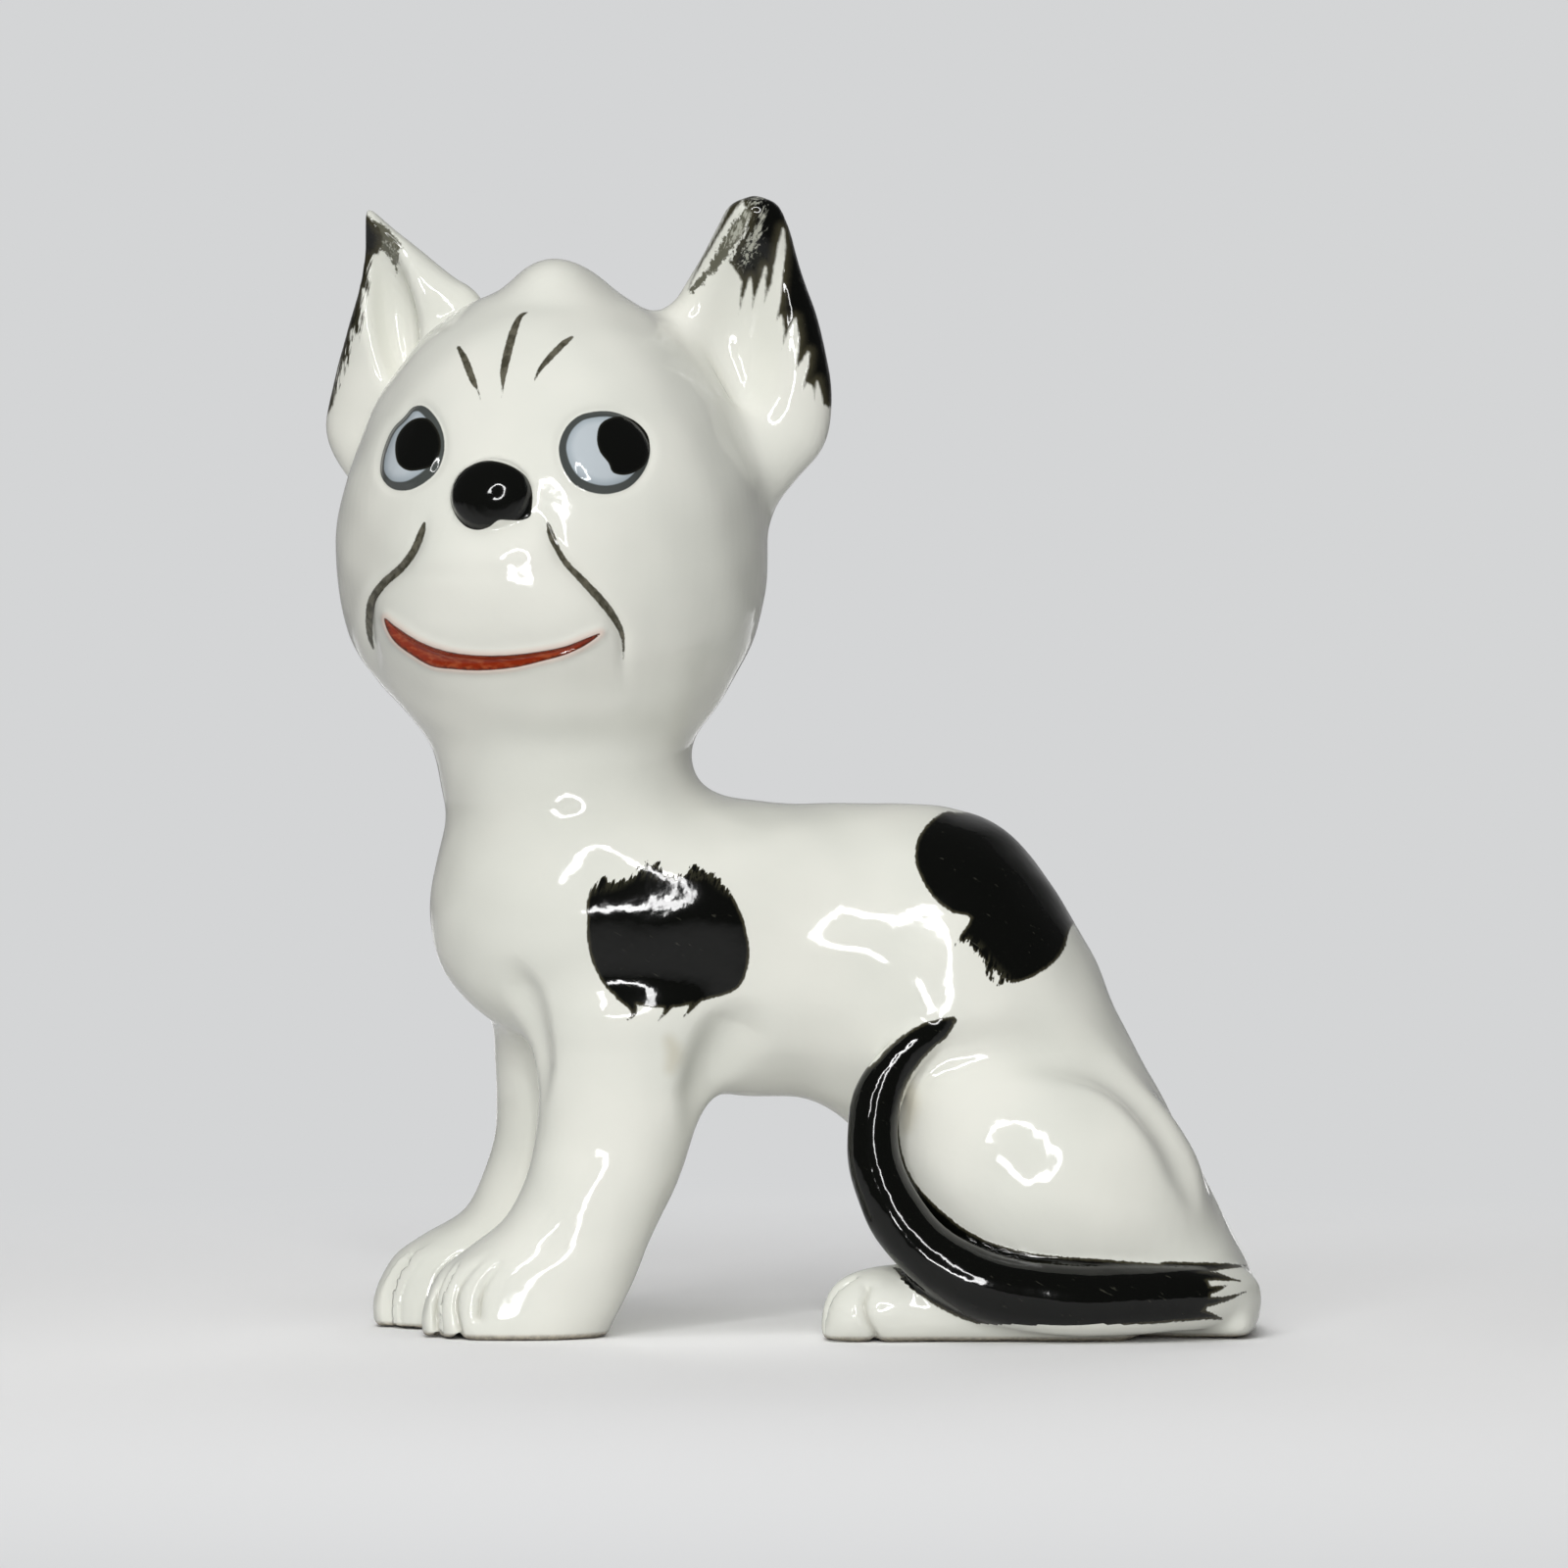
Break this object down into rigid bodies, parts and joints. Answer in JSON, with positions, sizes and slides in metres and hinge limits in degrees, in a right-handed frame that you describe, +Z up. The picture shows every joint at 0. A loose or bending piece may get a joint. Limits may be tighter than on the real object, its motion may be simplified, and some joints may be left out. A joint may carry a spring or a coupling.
{
  "type": "cat figurine",
  "caption": "Glazed porcelain figurine of a seated white cat with black patches and a black tail, its head turned over its left side, standing on its paws and haunches.",
  "frame": {"origin": "on the table, under the middle of the figurine's overall box", "axes": "+Z up from the paws to the ears, -X the way the cat's body faces, -Y out of its left side, which is the side it looks towards"},
  "size_m": [0.0904, 0.0414, 0.1096],
  "materials": {
    "white_glaze": "clear gloss glaze over white porcelain",
    "black_enamel": "gloss black enamel, brushed on and fired",
    "eye_white_enamel": "gloss bluish white enamel with a grey rim",
    "red_enamel": "gloss iron-red enamel"
  },
  "bodies": {
    "root": {"head_shell": "white_glaze", "left_ear": "white_glaze", "right_ear": "white_glaze", "nose_button": "black_enamel", "left_eye": "eye_white_enamel", "right_eye": "eye_white_enamel", "left_pupil": "black_enamel", "right_pupil": "black_enamel", "lips": "red_enamel", "torso_shell": "white_glaze", "left_front_leg": "white_glaze", "right_front_leg": "white_glaze", "left_hind_leg": "white_glaze", "right_hind_leg": "white_glaze", "tail": "black_enamel", "shoulder_patch": "black_enamel", "rump_patch": "black_enamel"}
  },
  "joints": []
}
